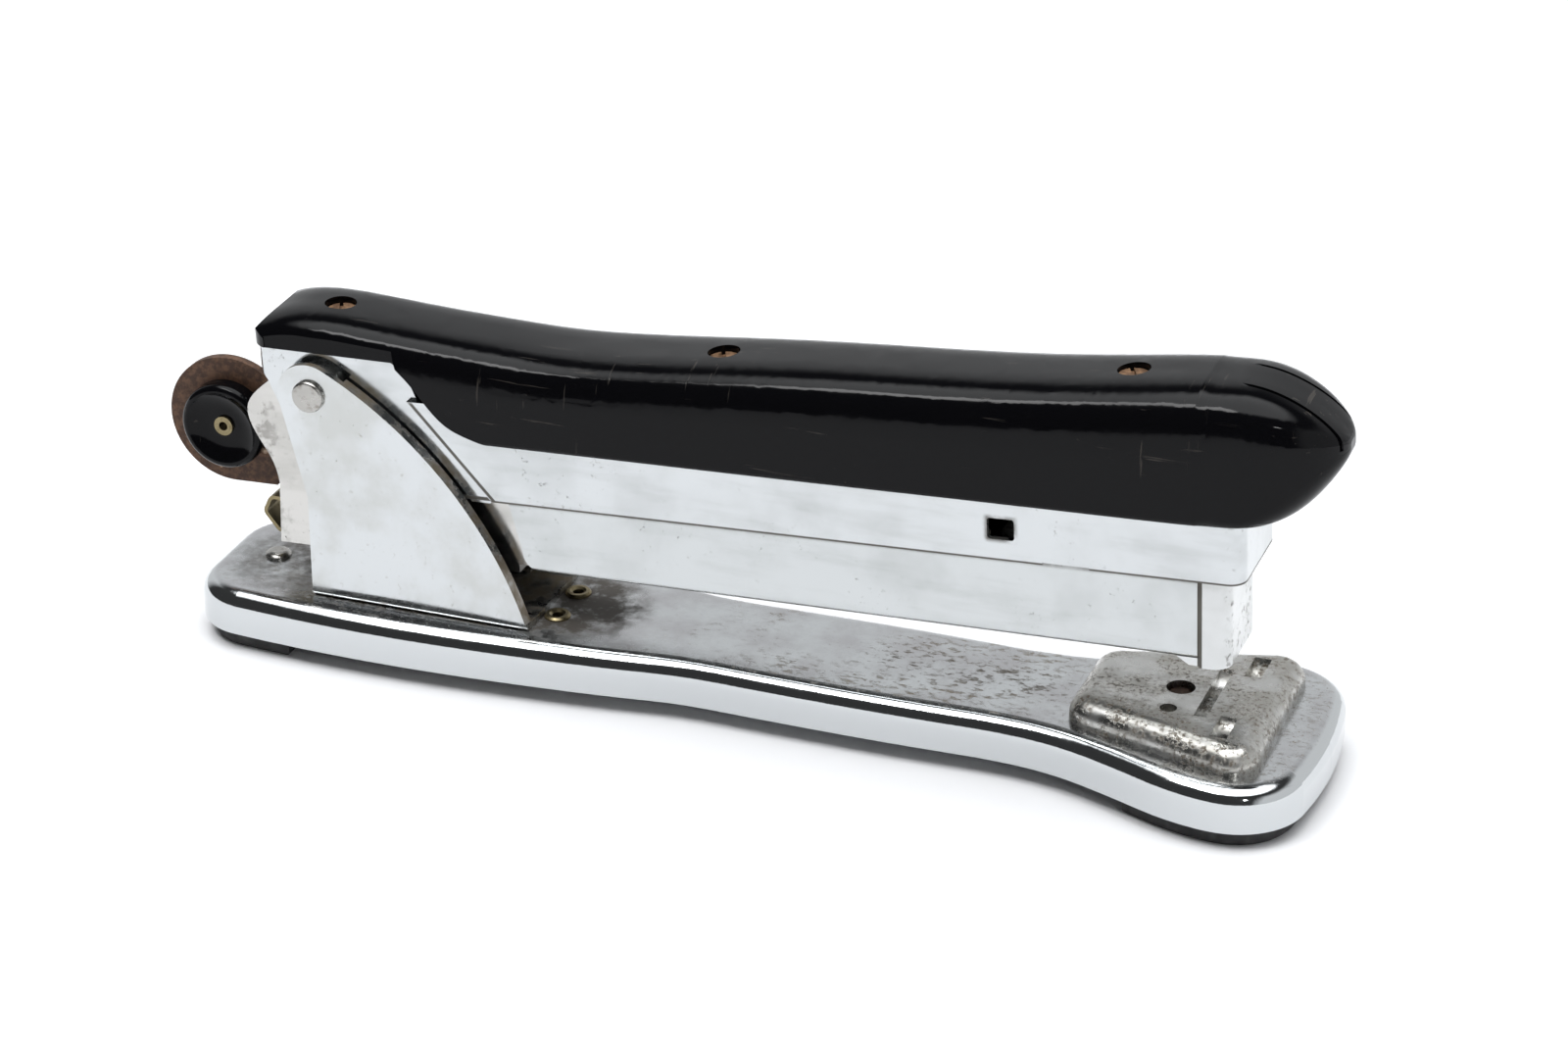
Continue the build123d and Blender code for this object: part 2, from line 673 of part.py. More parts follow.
def make_handle_frame():
    """The pressed frame: full width ahead, joggled in to a narrow hinge end behind."""
    outside = rounded_rear_block(
        REAR_HALF, -10.4, 3.5,
        [
            (-10.4, REAR_TOP), (-10.4, 2.6), (-8.2, 0.6), (-5.5, -5.5), (0, -7.5), (12.0, -9.5),
            (22.0, -16.2), (28.2, -16.2), (28.8, -15.0), (17.2, WEB_TOP), (14.4, REAR_TOP),
        ],
    )
    inside = rounded_rear_block(
        REAR_HALF - REAR_SHEET, -9.5, 2.6,
        [
            (-9.5, REAR_TOP - 0.9), (-9.5, -30), (40, -30), (40, WEB_TOP - FRAME_SHEET),
            (16.2, WEB_TOP - FRAME_SHEET), (13.5, REAR_TOP - 0.9),
        ],
    )
    with BuildPart() as handle_frame:
        front = [(30.3, FRAME_LOW), (FRAME_FRONT, FRAME_LOW), (FRAME_FRONT, WEB_TOP), (17.2, WEB_TOP)]
        side_slab(HANDLE, front, FRAME_HALF)
        nose_edges = handle_frame.edges().filter_by(Axis(HANDLE.origin, HANDLE.y_dir)).group_by(Axis.X)[-1]
        fillet(nose_edges, 2.5)
        cavity = [
            (5.0, -30), (FRAME_FRONT - FRAME_SHEET, -30),
            (FRAME_FRONT - FRAME_SHEET, WEB_TOP - FRAME_SHEET), (5.0, WEB_TOP - FRAME_SHEET),
        ]
        side_slab(HANDLE, cavity, FRAME_HALF - FRAME_SHEET, Mode.SUBTRACT)
        add(outside)
        joggle = [(30.3, FRAME_LOW), (28.9, FRAME_LOW), (15.8, WEB_TOP), (17.2, WEB_TOP)]
        side_slab(HANDLE, joggle, FRAME_HALF)
        add(inside, mode=Mode.SUBTRACT)
        side_round(HANDLE, (0, 0), PIN_R + RUN, 20, Mode.SUBTRACT)
        with BuildSketch(HANDLE) as openings:
            with Locations((111.2, -10.4)):
                RectangleRounded(4.2, 3.4, 0.5)
            with Locations((121.1, FRAME_LOW)):
                Rectangle(7.2, 0.8)
        extrude(openings.sketch, amount=20, both=True, mode=Mode.SUBTRACT)
        with BuildSketch(plan_plane(HANDLE, -4)) as screw_holes:
            for u, crown in SCREWS:
                with Locations((u, 0)):
                    Circle(1.2)
        extrude(screw_holes.sketch, amount=20, mode=Mode.SUBTRACT)
    save(handle_frame.part, "handle_frame")


GRIP_SECTIONS = (        # station, crown height, half width, its height, underside, lower corner
    (-13.0, 8.0, 9.5, 0.5, -5.8, 0.7),
    (-8.0, 10.7, 9.6, 2.0, -5.8, 0.7),
    (-3.0, 11.4, 9.7, 2.0, -5.8, 0.7),
    (10.0, 10.5, 9.8, 1.0, -5.8, 0.7),
    (23.3, 9.3, 10.1, -1.0, -5.8, 0.7),
    (36.3, 8.4, 10.35, -2.0, -5.8, 0.7),
    (58.8, 9.1, 10.6, -2.0, -5.8, 0.7),
    (90.3, 10.8, 10.9, -2.0, -5.8, 0.7),
    (120.6, 12.4, 11.1, -2.0, -5.8, 0.7),
    (132.5, 13.6, 11.3, -1.8, -5.8, 0.8),
    (141.0, 14.3, 11.4, -1.0, -5.8, 1.0),
    (147.0, 14.2, 11.1, 0.6, -5.8, 1.4),
    (151.5, 13.3, 10.3, 2.2, -5.5, 2.8),
    (155.2, 11.7, 8.9, 3.4, -4.1, 4.0),
    (158.2, 9.8, 7.0, 4.3, -1.5, 3.8),
    (160.3, 8.0, 4.9, 4.8, 1.2, 2.6),
    (161.5, 6.6, 2.9, 5.0, 3.2, 1.3),
    (161.9, 5.8, 1.4, 5.05, 4.3, 0.6),
)
GRIP_BOW = ((0.983, 0.509), (0.905, 0.757), (0.757, 0.905), (0.509, 0.983))


def grip_section(u, crown, half, middle, low, corner):
    """One cross-section of the grip: a soft square top over upright sides and eased edges."""
    rise = crown - middle
    right = [(half * across, middle + rise * up) for across, up in GRIP_BOW]
    left = [(-across, up) for across, up in reversed(right)]
    with BuildSketch(cross_plane(HANDLE, u)) as section:
        with BuildLine():
            Spline(
                (half, middle), *right, (0, crown), *left, (-half, middle),
                tangents=[(0, 1), (0, -1)],
            )
            Line((-half, middle), (-half, low + corner))
            RadiusArc((-half, low + corner), (corner - half, low), -corner)
            Line((corner - half, low), (half - corner, low))
            RadiusArc((half - corner, low), (half, low + corner), -corner)
            Line((half, low + corner), (half, middle))
        make_face()
    return section.sketch.face()


def grip_trim():
    """What is cut from the grip, seen from the side: behind its rear and below its stepped edge."""
    with BuildSketch(HANDLE) as outline:
        with BuildLine():
            Spline((-10.8, 6.5), (-9.6, 9.4), (-6.0, 12.0), tangents=[(0, 1), (1, 0.35)])
            Polyline((-6.0, 12.0), (-6.0, 14.0), (-20.0, 14.0), (-20.0, -9.0), (31.6, -9.0), (31.6, -6.4))
            Spline(
                (31.6, -6.4), (28.0, -5.4), (22.6, -3.3), (18.8, 0.6), (13.5, 6.0),
                tangents=[(-1, 0.15), (-1, 0.6)],
            )
            Line((13.5, 6.0), (-10.8, 6.5))
        make_face()
    return outline.sketch


def grip_body():
    """The outside of the grip: a long loft, a shorter one for the nose, rounded off behind."""
    sections = [grip_section(*values) for values in GRIP_SECTIONS]
    trim = grip_trim()
    with BuildPart() as body:
        loft(sections[:11])
        extrude(trim, amount=15, both=True, mode=Mode.SUBTRACT)
        loft(sections[10:])
        with BuildSketch(plan_plane(HANDLE, -10)) as plan:
            with BuildLine():
                Polyline(
                    (-10.8, -9.1), (12.0, -9.8), (24.0, -15.0), (170.0, -15.0),
                    (170.0, 15.0), (24.0, 15.0), (12.0, 9.8), (-10.8, 9.1),
                    close=True,
                )
            make_face()
            fillet(plan.vertices().group_by(Axis.X)[0], 4.2)
        extrude(plan.sketch, amount=30, mode=Mode.INTERSECT)
    return body.part


def grip_lip():
    """The band round the rear of the grip where its wall is thinner, up to a small step."""
    band = [(-8.0, 5.0), (-8.0, 9.2), (13.6, 8.4), (14.6, 5.0)]
    with BuildPart() as lip:
        side_slab(HANDLE, band, 20)
        side_slab(HANDLE, band, 8.85, Mode.SUBTRACT)
    return lip.part


def grip_groove(half_in, half_out):
    """The pair of shallow grooves that run over the nose to either side of its raised band."""
    with BuildPart() as groove:
        with BuildSketch(HANDLE) as band:
            with BuildLine():
                Spline(
                    (144.5, 14.5), (150.0, 13.1), (155.2, 10.9), (158.6, 8.2), (160.5, 5.2),
                    tangents=[(1, -0.06), (-0.15, -1)],
                )
                Polyline((160.5, 5.2), (166.0, 5.2), (166.0, 18.0), (144.5, 18.0), (144.5, 14.5))
            make_face()
        extrude(band.sketch, amount=half_out, both=True)
        extrude(band.sketch, amount=half_in, both=True, mode=Mode.SUBTRACT)
    return groove.part


def make_grip():
    """The moulded grip: a hollow cap that sits on the frame, with screw bosses inside."""
    body = grip_body()
    grooves = grip_groove(3.4, 4.1)
    lip = grip_lip()
    seat = rounded_rear_block(
        REAR_HALF, -10.4, 3.5,
        [(-10.4, REAR_TOP), (-10.4, -30), (17.2, -30), (17.2, WEB_TOP), (14.4, REAR_TOP)],
    )
    with BuildPart() as grip:
        add(body)
        add(grooves, mode=Mode.SUBTRACT)
        add(lip, mode=Mode.SUBTRACT)
        add(seat, mode=Mode.SUBTRACT)
        frame = [(10.0, -30), (FRAME_FRONT, -30), (FRAME_FRONT, WEB_TOP), (10.0, WEB_TOP)]
        side_slab(HANDLE, frame, FRAME_HALF, Mode.SUBTRACT)
        hollow = [(24.0, -1.0), (24.0, 5.4), (60.0, 6.0), (120.0, 9.2), (142.0, 11.0), (145.5, -1.0)]
        side_slab(HANDLE, hollow, 7.4, Mode.SUBTRACT)
        with BuildSketch(plan_plane(HANDLE, WEB_TOP)) as bosses:
            for u, crown in SCREWS[1:]:
                with Locations((u, 0)):
                    Circle(3.8)
        extrude(bosses.sketch, until=Until.NEXT)
        for u, crown in SCREWS:
            with BuildSketch(plan_plane(HANDLE, -8)) as shank:
                with Locations((u, 0)):
                    Circle(1.2)
            extrude(shank.sketch, amount=30, mode=Mode.SUBTRACT)
            with BuildSketch(plan_plane(HANDLE, crown - HEAD_SEAT)) as mouth:
                with Locations((u, 0)):
                    Circle(2.5)
            extrude(mouth.sketch, amount=12, mode=Mode.SUBTRACT)
    save(grip.part, "grip")


def make_grip_screws():
    """The three slotted screws that hold the grip to the frame."""
    with BuildPart() as grip_screws:
        for u, crown in SCREWS:
            low = 5.6 if u < 10 else -2.6
            with BuildSketch(plan_plane(HANDLE, low)) as shank:
                with Locations((u, 0)):
                    Circle(1.2)
            extrude(shank.sketch, amount=crown - HEAD_SEAT - low)
            with BuildSketch(plan_plane(HANDLE, crown - HEAD_SEAT)) as head:
                with Locations((u, 0)):
                    Circle(2.35)
            extrude(head.sketch, amount=1.3)
            with BuildSketch(plan_plane(HANDLE, crown - HEAD_SEAT + 0.8)) as slot:
                with Locations((u, 0)):
                    Rectangle(0.6, 5.0, rotation=25)
            extrude(slot.sketch, amount=1.0, mode=Mode.SUBTRACT)
    save(grip_screws.part, "grip_screws")


def make_driver_blade():
    """The thin blade under the handle's nose that drives one staple."""
    with BuildPart() as driver_blade:
        outline = [(BLADE_U, -19.4), (BLADE_U + 0.7, -19.4), (BLADE_U + 0.7, -1.0), (BLADE_U, -1.0)]
        side_slab(HANDLE, outline, BLADE_HALF)
    save(driver_blade.part, "driver_blade")


def make_driver_holder():
    """The block under the frame's web that backs the driver blade."""
    with BuildPart() as driver_holder:
        outline = [(136.5, -1.0), (139.0, -5.0), (BLADE_U, -5.0), (BLADE_U, -1.0)]
        side_slab(HANDLE, outline, 5.0)
    save(driver_holder.part, "driver_holder")


def make_handle_spring():
    """The leaf under the frame's web that rests on the magazine and lifts the handle."""
    high = WEB_TOP - FRAME_SHEET - 0.25
    path = ((22.0, high), (30.0, high), (53.5, -12.3), (58.5, -11.2))
    with BuildPart() as handle_spring:
        leaf(HANDLE, path, 3.0, 6.9, 0.5)
    save(handle_spring.part, "handle_spring")


def main():
    make_base_shell()
    make_foot("front_foot", REAR_X + 134.5, REAR_X + 165.0, ANVIL_RIVET_X, UNDER_Z)
    make_foot("rear_foot", REAR_X - 20.0, REAR_X - 3.0, REAR_RIVET_X, 4.0)
    make_stiffener_plate()
    make_anvil_plate()
    make_rivets(
        "anvil_rivet", [(ANVIL_RIVET_X, 0)], UNDER_Z, ANVIL_TOP - 1.6, 2.0, 0.9, 2.2, 0.8
    )
    make_rivets("rear_rivet", [(REAR_RIVET_X, 0)], 4.0, TOP_Z, 2.1, 0.9, 2.4, 0.7)
    make_rivets(
        "bracket_rivets", [(x, 0) for x in FLOOR_RIVETS_X],
        UNDER_Z - PLATE, TOP_Z + BRACKET_SHEET + 0.5, 2.1, 0.7, 2.2, 0.7,
    )
    make_front_rivets()
    make_pivot_bracket()
    make_pivot_pin()
    make_pivot_washers()
    make_lift_spring()
    make_magazine_channel()
    make_nose_cap()
    make_magazine_carrier()
    make_pivot_sleeve()
    make_carrier_spacer()
    make_staple_rail()
    make_staple_strip()
    make_latch_spring()
    make_knob_tongue()
    make_knob_button("knob_button_right", -1)
    make_knob_button("knob_button_left", 1)
    make_knob_rivet()
    make_pusher_rod()
    make_spring_seat()
    make_follower()
    make_pusher_spring()
    make_handle_frame()
    make_grip()
    make_grip_screws()
    make_driver_blade()
    make_driver_holder()
    make_handle_spring()


main()
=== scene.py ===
"""Looks for the desk stapler: worn chrome, a glossy black grip and old rust, in a pale studio.

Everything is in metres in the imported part's own frame. +X runs to the nose, +Z is up. Places on
the magazine and the handle are in millimetres from the pivot, in their own tilted side planes.
"""
import math

import bpy
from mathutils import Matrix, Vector


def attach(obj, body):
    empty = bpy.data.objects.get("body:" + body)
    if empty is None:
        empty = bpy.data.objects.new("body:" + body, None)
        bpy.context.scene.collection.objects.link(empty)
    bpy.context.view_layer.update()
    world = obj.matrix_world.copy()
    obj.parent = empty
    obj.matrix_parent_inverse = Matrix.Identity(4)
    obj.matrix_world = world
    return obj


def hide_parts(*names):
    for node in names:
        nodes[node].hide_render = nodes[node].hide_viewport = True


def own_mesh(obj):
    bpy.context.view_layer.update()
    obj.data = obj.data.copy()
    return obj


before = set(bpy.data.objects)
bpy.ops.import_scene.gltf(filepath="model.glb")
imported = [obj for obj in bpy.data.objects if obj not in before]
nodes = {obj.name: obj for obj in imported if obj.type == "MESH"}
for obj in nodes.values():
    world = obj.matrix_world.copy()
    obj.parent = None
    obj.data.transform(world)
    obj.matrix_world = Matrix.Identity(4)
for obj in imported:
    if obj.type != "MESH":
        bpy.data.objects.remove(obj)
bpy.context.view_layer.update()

PIVOT = (-0.0658, 0.0, 0.0446)
MAGAZINE_TILT = 2.3       # nose-up angles at rest, in degrees
HANDLE_TILT = 3.0
DECK_Z = 0.0099           # flat top of the base
NOSE_SEAM = 141.2         # station of the seam behind the nose wrap
FRAME_EDGE = -15.5        # height of the handle frame's lower edge
FRAME_HOLE = (111.2, -10.4)
JOGGLE = (0.7637, 0.6454)       # square to the sloping step in the frame, and how far out it is
JOGGLE_OUT = 12.45


# ---------------------------------------------------------------- material tools
class Shader:
    """A node material with its Principled shader and a few short ways to add nodes."""

    def __init__(self, name, colour, metallic, roughness):
        self.material = bpy.data.materials.new(name)
        self.material.use_nodes = True
        self.nodes = self.material.node_tree.nodes
        self.links = self.material.node_tree.links
        self.bsdf = self.nodes["Principled BSDF"]
        self.bsdf.inputs["Base Color"].default_value = (*colour, 1)
        self.bsdf.inputs["Metallic"].default_value = metallic
        self.bsdf.inputs["Roughness"].default_value = roughness
        self.place = self.nodes.new("ShaderNodeTexCoord").outputs["Object"]

    def stretched(self, scale, turn=(0, 0, 0)):
        """Object coordinates scaled along each axis."""
        mapping = self.nodes.new("ShaderNodeMapping")
        mapping.inputs["Scale"].default_value = scale
        mapping.inputs["Rotation"].default_value = turn
        self.links.new(self.place, mapping.inputs["Vector"])
        return mapping.outputs["Vector"]

    def noise(self, scale, detail=4.0, rough=0.55, place=None):
        """Fractal noise over the object, or over another place such as a stretched one."""
        texture = self.nodes.new("ShaderNodeTexNoise")
        texture.inputs["Scale"].default_value = scale
        texture.inputs["Detail"].default_value = detail
        texture.inputs["Roughness"].default_value = rough
        self.links.new(place or self.place, texture.inputs["Vector"])
        return texture.outputs["Fac"]

    def ramp(self, value, low, high, start=0.0, end=1.0):
        """A smooth rise from start to end as the value goes from low to high."""
        step = self.nodes.new("ShaderNodeMapRange")
        step.interpolation_type = "SMOOTHSTEP"
        step.inputs["From Min"].default_value = low
        step.inputs["From Max"].default_value = high
        step.inputs["To Min"].default_value = start
        step.inputs["To Max"].default_value = end
        self.links.new(value, step.inputs["Value"])
        return step.outputs["Result"]

    def math(self, kind, first, second=0.0):
        """A math node on two values, either of which may be a plain number."""
        node = self.nodes.new("ShaderNodeMath")
        node.operation = kind
        for socket, value in zip(node.inputs, (first, second)):
            if isinstance(value, (int, float)):
                socket.default_value = value
            else:
                self.links.new(value, socket)
        return node.outputs["Value"]

    def product(self, first, *others):
        """Several values multiplied together."""
        for other in others:
            first = self.math("MULTIPLY", first, other)
        return first

    def largest(self, first, second):
        """The larger of two values."""
        return self.math("MAXIMUM", first, second)

    def axis(self, letter, source=None):
        """One coordinate of a vector, the place by default."""
        split = self.nodes.new("ShaderNodeSeparateXYZ")
        self.links.new(source or self.place, split.inputs[0])
        return split.outputs[letter]

    def normal(self, letter):
        """One coordinate of the surface's direction."""
        geometry = self.nodes.new("ShaderNodeNewGeometry")
        return self.axis(letter, geometry.outputs["Normal"])

    def near(self, centre, radius, soft):
        """1 inside a sphere about a point, falling to 0 over a soft edge."""
        gap = self.nodes.new("ShaderNodeVectorMath")
        gap.operation = "DISTANCE"
        self.links.new(self.place, gap.inputs[0])
        gap.inputs[1].default_value = centre
        return self.ramp(gap.outputs["Value"], radius, radius + soft, 1.0, 0.0)

    def along(self, tilt, tangent, normal):
        """Millimetres from the pivot, seen from the side, in a plane tilted nose-up."""
        lean = math.radians(tilt)
        east = math.cos(lean) * tangent - math.sin(lean) * normal
        up = math.sin(lean) * tangent + math.cos(lean) * normal
        dot = self.nodes.new("ShaderNodeVectorMath")
        dot.operation = "DOT_PRODUCT"
        self.links.new(self.place, dot.inputs[0])
        dot.inputs[1].default_value = (east * 1000, 0.0, up * 1000)
        offset = (PIVOT[0] * east + PIVOT[2] * up) * 1000
        return self.math("SUBTRACT", dot.outputs["Value"], offset)

    def station(self, tilt):
        """Millimetres ahead of the pivot, along the tilted plane."""
        return self.along(tilt, 1.0, 0.0)

    def height(self, tilt):
        """Millimetres above the pivot, square to the tilted plane's length."""
        return self.along(tilt, 0.0, 1.0)

    def band(self, value, middle, half, soft):
        """1 within half of a middle value, falling to 0 over a soft edge."""
        off = self.math("ABSOLUTE", self.math("SUBTRACT", value, middle))
        return self.ramp(off, half, half + soft, 1.0, 0.0)

    def blend(self, factor, first, second):
        """A colour between two, by a factor; each may be a colour or a socket."""
        mix = self.nodes.new("ShaderNodeMix")
        mix.data_type = "RGBA"
        self.links.new(factor, mix.inputs["Factor"])
        for socket, value in ((mix.inputs["A"], first), (mix.inputs["B"], second)):
            if isinstance(value, tuple):
                socket.default_value = (*value, 1)
            else:
                self.links.new(value, socket)
        return mix.outputs["Result"]

    def colour(self, value):
        self.links.new(value, self.bsdf.inputs["Base Color"])

    def roughness(self, value):
        self.links.new(value, self.bsdf.inputs["Roughness"])

    def metallic(self, value):
        self.links.new(value, self.bsdf.inputs["Metallic"])

    def bump(self, height, distance, strength=1.0):
        bump = self.nodes.new("ShaderNodeBump")
        bump.inputs["Distance"].default_value = distance
        bump.inputs["Strength"].default_value = strength
        self.links.new(height, bump.inputs["Height"])
        self.links.new(bump.outputs["Normal"], self.bsdf.inputs["Normal"])


RUST = (0.13, 0.055, 0.022)
PLATE = (0.58, 0.60, 0.61)


def base_chrome():
    """Chrome tray: a clean skirt and a top that is dulled, pitted and freckled with rust."""
    s = Shader("worn_chrome_base", PLATE, 1.0, 0.08)
    up = s.ramp(s.normal("Z"), 0.90, 0.99)

    broad = s.ramp(s.noise(38.0, 5.0, 0.6), 0.44, 0.60)
    across = s.stretched((480.0, 1000.0, 480.0))
    streak = s.ramp(s.noise(1.0, 6.0, 0.75, across), 0.50, 0.64)
    middle = s.band(s.axis("X"), 0.012, 0.034, 0.020)
    freckles = s.product(streak, broad, s.largest(middle, 0.45))
    fine = s.ramp(s.noise(1500.0, 5.0, 0.7), 0.58, 0.70)
    round_anvil = s.near((0.0775, 0.0, DECK_Z), 0.019, 0.010)
    pepper = s.product(fine, s.largest(round_anvil, 0.25))
    rust = s.product(s.largest(freckles, pepper), up)

    ragged = s.math("ADD", s.ramp(s.noise(260.0, 6.0, 0.7), 0.25, 0.75), 0.45)
    ahead = s.near((-0.0285, 0.0, DECK_Z), 0.0065, 0.012)
    behind = s.product(s.near((-0.0740, 0.0, DECK_Z), 0.0060, 0.012), 0.62)
    grime = s.ramp(s.product(s.largest(ahead, behind), ragged), 0.15, 1.05)
    dirt_and_shade = s.largest(rust, grime)

    dull = s.product(up, s.ramp(s.noise(120.0, 4.0, 0.6), 0.30, 0.70))
    clean = s.blend(dull, PLATE, (0.47, 0.47, 0.48))
    stained = s.blend(s.product(rust, 0.80), clean, (0.16, 0.115, 0.060))
    s.colour(s.blend(s.product(grime, up, 0.92), stained, (0.060, 0.048, 0.034)))
    low = s.ramp(s.noise(240.0, 5.0), 0.35, 0.75, 0.05, 0.12)
    worn = s.product(up, s.math("ADD", 0.20, s.product(dirt_and_shade, 0.4)))
    s.roughness(s.largest(low, worn))
    s.metallic(s.ramp(s.product(dirt_and_shade, up), 0.3, 0.9, 1.0, 0.35))
    grain = s.noise(900.0, 5.0, 0.65)
    s.bump(s.math("SUBTRACT", grain, s.product(rust, 0.6)), 0.00004, 0.30)
    return s.material


def anvil_metal():
    """Nickelled anvil pad: rubbed grey, with brown freckles and pits."""
    s = Shader("worn_anvil", (0.45, 0.44, 0.42), 1.0, 0.3)
    pits = s.ramp(s.noise(1300.0, 6.0, 0.72), 0.50, 0.60)
    patch = s.ramp(s.noise(150.0, 4.0, 0.6), 0.36, 0.58)
    rust = s.product(pits, patch)
    clean = s.blend(patch, (0.53, 0.53, 0.515), (0.41, 0.40, 0.37))
    s.colour(s.blend(s.product(rust, 0.9), clean, (0.085, 0.060, 0.035)))
    s.roughness(s.ramp(s.noise(320.0, 5.0), 0.3, 0.7, 0.20, 0.36))
    s.metallic(s.ramp(rust, 0.3, 0.9, 1.0, 0.3))
    s.bump(s.math("SUBTRACT", s.noise(900.0, 5.0, 0.6), rust), 0.00005, 0.5)
    return s.material


def plated_sheet(name, stain=0.5, tint=PLATE, dirt_and_shade=None):
    """Bright plated sheet with cloudy patches, hairline scratches, and the dirt and painted shade
    that the given mask adds.
    """
    s = Shader(name, tint, 1.0, 0.16)
    cloud = s.ramp(s.noise(60.0, 4.0, 0.6), 0.42, 0.66)
    lengthwise = s.stretched((50.0, 300.0, 300.0))
    smear = s.ramp(s.noise(1.0, 5.0, 0.6, lengthwise), 0.46, 0.70)
    specks = s.ramp(s.noise(900.0, 5.0, 0.7), 0.60, 0.70)
    where = s.ramp(s.noise(70.0, 3.0), 0.46, 0.66)
    dark = (tint[0] * 0.80, tint[1] * 0.80, tint[2] * 0.79)
    shade = s.blend(s.product(s.math("ADD", cloud, smear), 0.5), tint, dark)
    mark = s.product(specks, where, stain)
    # the given mask adds dirt, and for the frame, channel and nose also painted shadow, reflection
    # and seam shade
    if dirt_and_shade:
        mark = s.largest(mark, dirt_and_shade(s))
    s.colour(s.blend(mark, shade, (0.055, 0.046, 0.032)))
    s.roughness(s.math("ADD", s.ramp(cloud, 0.0, 1.0, 0.12, 0.22), s.product(mark, 0.3)))
    s.metallic(s.ramp(mark, 0.4, 1.0, 1.0, 0.5))
    hair = s.noise(1.0, 3.0, 0.5, s.stretched((90.0, 1500.0, 2600.0)))
    s.bump(hair, 0.00001, 0.25)
    return s.material


def frame_shadow_and_dirt(s):
    """A dark line of painted shadow and dirt along the frame's lower edge, another of painted dark
    reflection and dirt along its sloping step, and grime in its hole.
    """
    # painted shadow, with some dirt, in a line along the frame's lower edge
    low = s.band(s.height(HANDLE_TILT), FRAME_EDGE, 0.20, 0.20)
    # painted dark reflection, with some dirt, in a line along the sloping step
    step = s.band(s.along(HANDLE_TILT, *JOGGLE), JOGGLE_OUT, 0.16, 0.22)
    below_web = s.ramp(s.height(HANDLE_TILT), -0.5, 0.5, 1.0, 0.0)
    lines = s.largest(low, s.product(step, below_web))
    hole = s.product(
        s.band(s.height(HANDLE_TILT), FRAME_HOLE[1], 1.6, 0.9),
        s.band(s.station(HANDLE_TILT), FRAME_HOLE[0], 2.0, 0.9),
    )
    rough = s.ramp(s.noise(330.0, 4.0), 0.30, 0.60)
    return s.largest(s.product(lines, 0.9), s.product(hole, rough, 0.8))


def channel_shadow_and_dirt(s):
    """Painted shadow and dirt under the frame's edge, a darker band along the bottom bend, and
    painted shade in the seam behind the nose wrap.
    """
    # painted contact shadow, with some dirt, on the channel just under the frame's edge
    under = s.band(s.height(HANDLE_TILT), FRAME_EDGE + 0.3, 0.9, 0.6)
    # painted shade in the seam gap behind the nose wrap
    seam = s.band(s.station(MAGAZINE_TILT), NOSE_SEAM - 0.05, 0.22, 0.12)
    bend = s.band(s.height(MAGAZINE_TILT), -27.1, 0.35, 0.4)
    rough = s.ramp(s.noise(260.0, 4.0), 0.30, 0.60, 0.5, 1.0)
    lines = s.largest(s.product(under, 0.55), s.product(bend, 0.7))
    return s.largest(s.product(lines, rough), s.product(seam, 0.95))


def nose_seam_shade_and_specks(s):
    """Painted shade in the seam behind the nose wrap, and brown specks on its front."""
    # painted shade in the seam gap
    seam = s.band(s.station(MAGAZINE_TILT), NOSE_SEAM, 0.35, 0.15)
    front = s.ramp(s.normal("X"), 0.6, 0.9)
    specks = s.product(front, s.ramp(s.noise(700.0, 5.0, 0.7), 0.54, 0.66))
    return s.largest(s.product(seam, 0.9), s.product(specks, 0.6))


def carrier_dirt(s):
    """Brown stains over the rear of the carrier, and its sheet edges darkened."""
    rear = s.ramp(s.station(MAGAZINE_TILT), -13.0, -3.0, 1.0, 0.0)
    blots = s.ramp(s.noise(300.0, 5.0, 0.65), 0.52, 0.66)
    edge = s.ramp(s.math("ABSOLUTE", s.normal("Y")), 0.5, 0.9, 0.6, 0.0)
    return s.largest(s.product(rear, blots, 0.55), edge)


def bracket_metal():
    """The bracket's plate, browned along its curved front edge and bottom bend."""
    s = Shader("plated_bracket", PLATE, 1.0, 0.15)
    cloud = s.ramp(s.noise(75.0, 4.0, 0.6), 0.42, 0.68)
    speck = s.ramp(s.noise(900.0, 5.0, 0.7), 0.60, 0.72)
    inward = s.ramp(s.math("ABSOLUTE", s.normal("Y")), 0.55, 0.9, 1.0, 0.0)
    grime = s.product(inward, s.ramp(s.noise(260.0, 4.0, 0.6), 0.25, 0.62))
    mark = s.largest(s.product(grime, 0.9), s.product(speck, 0.35))
    clean = s.blend(cloud, PLATE, (0.50, 0.51, 0.50))
    s.colour(s.blend(mark, clean, (0.16, 0.12, 0.07)))
    s.roughness(s.math("ADD", s.ramp(cloud, 0.0, 1.0, 0.10, 0.22), s.product(mark, 0.35)))
    s.metallic(s.ramp(mark, 0.3, 1.0, 1.0, 0.6))
    s.bump(s.noise(500.0, 5.0, 0.6), 0.00001, 0.3)
    return s.material


